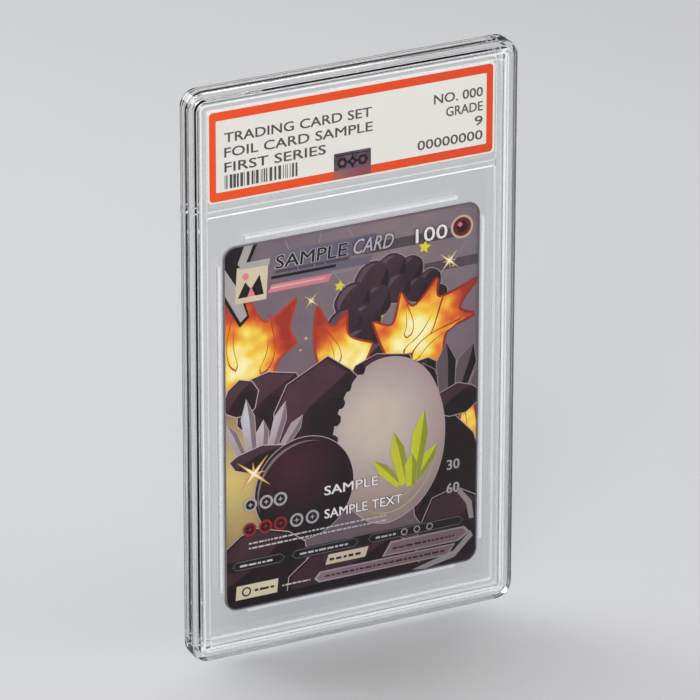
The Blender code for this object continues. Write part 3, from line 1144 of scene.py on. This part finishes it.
def card_back():
    """The card's back: a blue border, a lattice panel and a plain compass medallion."""
    navy = ink("back_navy", (30, 42, 96), (22, 30, 74), -30, 30, turn=1.2, gloss=0.4)
    sheet_piece("card_back_sheet", "card_back_ply", navy, back=(0.03, 0.02))
    sheet = Sheet("card_back_ply", BACK)
    blue, pale, gold, white = range(4)
    sheet.shape(box(3.6, 3.6, 59.4, 84.4), blue)
    for lean in (1, -1):
        places = [step * 5.0 if lean == 1 else 63 - step * 5.0 for step in range(-18, 13)]
        far = 88 * lean
        sheet.shapes([path(x, 0, x + 0.35, 0, x + far + 0.35, 88, x + far, 88) for x in places], pale)
    sheet.border(gold, (3.2, 3.2, 1.6), (3.9, 3.9, 0.9))
    sheet.border(white, (4.6, 4.6, 1.0), (4.85, 4.85, 0.75))
    sheet.draw("""
        2 oval 31.5 44 18.6 24.6 64
        0 oval 31.5 44 17.8 23.8 64
        1 oval 31.5 44 15.4 21.4 64
        0 oval 31.5 44 14.9 20.9 64
        1 star 31.5 44 14.2 3.4 8 22.5
        2 star 31.5 44 17.4 3.2
        3 star 31.5 44 11.8 2.6 4 45
        2 oval 31.5 44 4.4
        0 oval 31.5 44 3.6
        3 star 31.5 44 3 1.1 6
    """)
    for x in (9.5, 53.5):
        for y in (9.5, 78.5):
            sheet.shape(star(x, y, 3.2, 0.9), gold)
            sheet.shape(oval(x, y, 0.7), white)
    sheet.printed("card_print_back", """
        back_blue 64 104 178 34 60 130 near 4 far 40 x 31.5 y 44 paint 0.12 gloss 0.4
        back_pale 150 184 224 110 150 206 turn 1.3 gloss 0.4
        back_gold 206 170 92 176 138 66 foil 0.5 gloss 0.34
        back_white 232 232 228 232 232 228 gloss 0.42
    """)


# -------- the label


def label_plate():
    paper = paper_material("label_paper", srgb(230, 225, 217), 0.03)
    sheet_piece("label_paper", "label_stock", paper, front=(0.04, 0.03), back=(0.04, 0.03))


def label_front():
    """An orange border, generic lettering, and bars that encode nothing."""
    sheet = Sheet("label_stock")
    sheet.border(0, (0.45, 0.45, 0.95), (2.05, 2.5, 0.25))
    sheet.printed("label_border", """
        label_orange 236 76 20 224 68 18 near -30 far 30 paint 0.03 gloss 0.42
    """)

    sheet = Sheet("label_stock")
    left, right = 4.1, 67.0
    for words, place, align, width in (
        ("TRADING CARD SET", (left, 7.75), "LEFT", 35.6),
        ("FOIL CARD SAMPLE", (left, 11.2), "LEFT", 35.8),
        ("FIRST SERIES", (left, 14.65), "LEFT", 24.4),
        ("NO. 000", (right, 7.7), "RIGHT", 12.0),
        ("GRADE", (right, 11.1), "RIGHT", 9.0),
        ("9", (right, 14.5), "RIGHT", 1.9),
        ("00000000", (right, 17.9), "RIGHT", 16.0),
    ):
        sheet.text(words, place, 2.3, align=align, width=width)
    chance = random.Random(3)
    bars = []
    x = left
    while x < 21.6:
        bar = chance.choice((0.18, 0.18, 0.32, 0.48, 0.66))
        bars.append(box(x, 15.4, x + bar, 18.6))
        x += bar + chance.choice((0.20, 0.20, 0.36, 0.5))
    sheet.shapes(bars)
    sheet.printed("label_lettering", """
        label_black 74 69 68 88 81 80 near -30 far 30 paint 0.15 gloss 0.5
    """)


def label_back():
    """Two borders, a band of crossing waves and a blank oval."""
    sheet = Sheet("label_stock", BACK)
    orange, grey = 0, 1
    sheet.border(orange, (0.6, 0.6, 0.9), (1.5, 1.5, 0.3))
    sheet.border(orange, (2.1, 2.1, 0.3), (2.3, 2.3, 0.2))
    middle = sheet.height / 2
    for wave in range(6):
        upper, lower = [], []
        for step in range(97):
            x = 3.2 + (sheet.width - 6.4) * step / 96
            y = middle + 6.5 * math.sin(math.tau * step / 48 + wave * math.tau / 6)
            upper.append((x, y - 0.07))
            lower.append((x, y + 0.07))
        sheet.shape(upper + lower[::-1], grey)
    sheet.shape(oval(sheet.width / 2, middle, 9.6, 5.0), orange)
    sheet.shape(oval(sheet.width / 2, middle, 9.1, 4.5), grey)
    sheet.printed("label_print_back", """
        label_back_orange 236 96 56 224 88 54 near -30 far 30 paint 0.03 gloss 0.42
        label_back_grey 176 172 168 150 148 146 near -30 far 30 gloss 0.5
    """)


def hologram():
    """The security patch: a plate of foil with a plain raised pattern."""
    sheet_piece("hologram_patch", "label_hologram", hologram_foil(), front=(0.03, 0.008), steps=4)
    sheet = Sheet("label_hologram")
    dark, rose = 0, 1
    sheet.shape(box(0, 4.0, sheet.width, sheet.height), rose)
    sheet.shape(box(0.5, 0.5, sheet.width - 0.5, 0.75), dark)
    sheet.draw("""
        0 oval 2 2.4 1.35 1.35 6
        1 oval 2 2.4 0.6 0.6 6
        0 oval 7 2.4 1.35 1.35 6
        1 oval 7 2.4 0.6 0.6 6
        0 star 4.5 2.4 1.7 0.8
        1 oval 4.5 2.4 0.35
    """)
    sheet.printed("hologram_emblem", """
        hologram_dark 34 26 36 48 34 48 near -4 far 4 foil 0.8 gloss 0.3
        hologram_rose 186 112 108 150 92 100 near -4 far 4 foil 0.9 gloss 0.3
    """)


# -------- stage, light and camera


def mirrored(nodes):
    """1 for a ray that a shiny surface has reflected, and 0 for others: the room shows darker in it."""
    depths = [nodes.add("LightPath", out=name) for name in ("Glossy Depth", "Diffuse Depth")]
    shiny, soft = (nodes.math("MINIMUM", 1.0, depth) for depth in depths)
    return nodes.times(shiny, nodes.math("SUBTRACT", 1.0, soft))


def make_stage():
    """A plain floor with painted light that makes it paler with distance, so that it runs into the
    background. Seen in a shiny surface it shows a painted dark reflection.
    """
    mesh = bpy.data.meshes.new("floor")
    work = bmesh.new()
    bmesh.ops.create_grid(work, x_segments=2, y_segments=2, size=12.0)
    work.to_mesh(mesh)
    work.free()
    nodes = new_material("floor")
    tone = nodes.mix(nodes.noise(0.004, 3.0), (0.33, 0.33, 0.335), (0.36, 0.36, 0.365))
    # Painted light: the floor's colour is made up to 2.4 times brighter from 0.5 m to 2.2 m out.
    light = nodes.remap(nodes.length(nodes.place()), 500.0, 2200.0, 1.0, 2.4)
    tone = nodes.mix(1.0, tone, light, "MULTIPLY")
    # Painted reflection: seen in a shiny surface, the floor's colour is painted nearly black (0.07).
    tone = nodes.mix(mirrored(nodes), tone, (0.07, 0.07, 0.07))
    mesh.materials.append(nodes.painted({"Base Color": tone, "Roughness": 0.7}))
    placed("floor", mesh)


def make_light(name, place, size, power):
    lamp = bpy.data.lights.new(name, "AREA")
    lamp.shape = "RECTANGLE"
    lamp.size, lamp.size_y = size
    lamp.energy = power
    made = placed(name, lamp)
    made.location = place
    made.rotation_euler = (LIGHTS_AIM - Vector(place)).to_track_quat("-Z", "Y").to_euler()


def make_world():
    world = bpy.data.worlds.new("studio")
    bpy.context.scene.world = world
    nodes = Nodes(world)
    up = nodes.add("SeparateXYZ", {0: nodes.add("TexCoord", out="Generated")}, 2)
    tone = nodes.ramp(
        nodes.remap(up, -1.0, 1.0),
        (0.0, (0.30, 0.30, 0.31)),
        (0.5, (0.50, 0.50, 0.51)),
        (0.75, (0.60, 0.61, 0.63)),
    )
    strength = nodes.remap(mirrored(nodes), 0.0, 1.0, 1.05, 0.20)
    nodes.finish(nodes.add("Background", {"Color": tone, "Strength": strength}), "OutputWorld")


def make_camera():
    level = math.cos(ELEVATION)
    back = Vector((math.sin(AZIMUTH) * level, -math.cos(AZIMUTH) * level, math.sin(ELEVATION)))
    lens = bpy.data.cameras.new("camera")
    lens.lens = LENS
    lens.clip_start, lens.clip_end = 0.02, 20
    camera = placed("camera", lens)
    camera.location = Vector((0, 0, MIDDLE * MM)) + back * DISTANCE
    camera.rotation_euler = (-back).to_track_quat("-Z", "Y").to_euler()
    camera.rotation_euler.rotate_axis("Z", ROLL)
    bpy.context.scene.camera = camera


def main():
    clear = clear_plastic("clear_polystyrene", 0.012, 0.0)
    edge = clear_plastic("frosted_edge", 0.16, 0.60)
    make_shell("front_moulding", "front_shell", FRONT, TONGUE_HALF, TONGUE_END, [clear, edge])
    make_shell("back_moulding", "back_shell", BACK, GROOVE_HALF, GROOVE_END, [clear, edge])
    make_weld(clear_plastic("frosted_weld", 0.25, 0.60))
    for node, colour in (("card_front_ply", srgb(226, 222, 212)), ("card_core", srgb(40, 42, 52))):
        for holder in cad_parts[node].material_slots:
            holder.material = paper_material(f"{node}_paper", colour)
    card = (card_film, card_sky, card_smoke, card_flames, card_rocks, card_stars, card_panels, card_lettering)
    for make in (*card, card_back, label_plate, label_front, label_back, hologram, make_stage, make_world):
        make()
    for light in LIGHTS:
        make_light(*light)
    make_camera()
    bpy.context.scene.view_settings.view_transform = "Standard"


main()
bpy.context.view_layer.update()
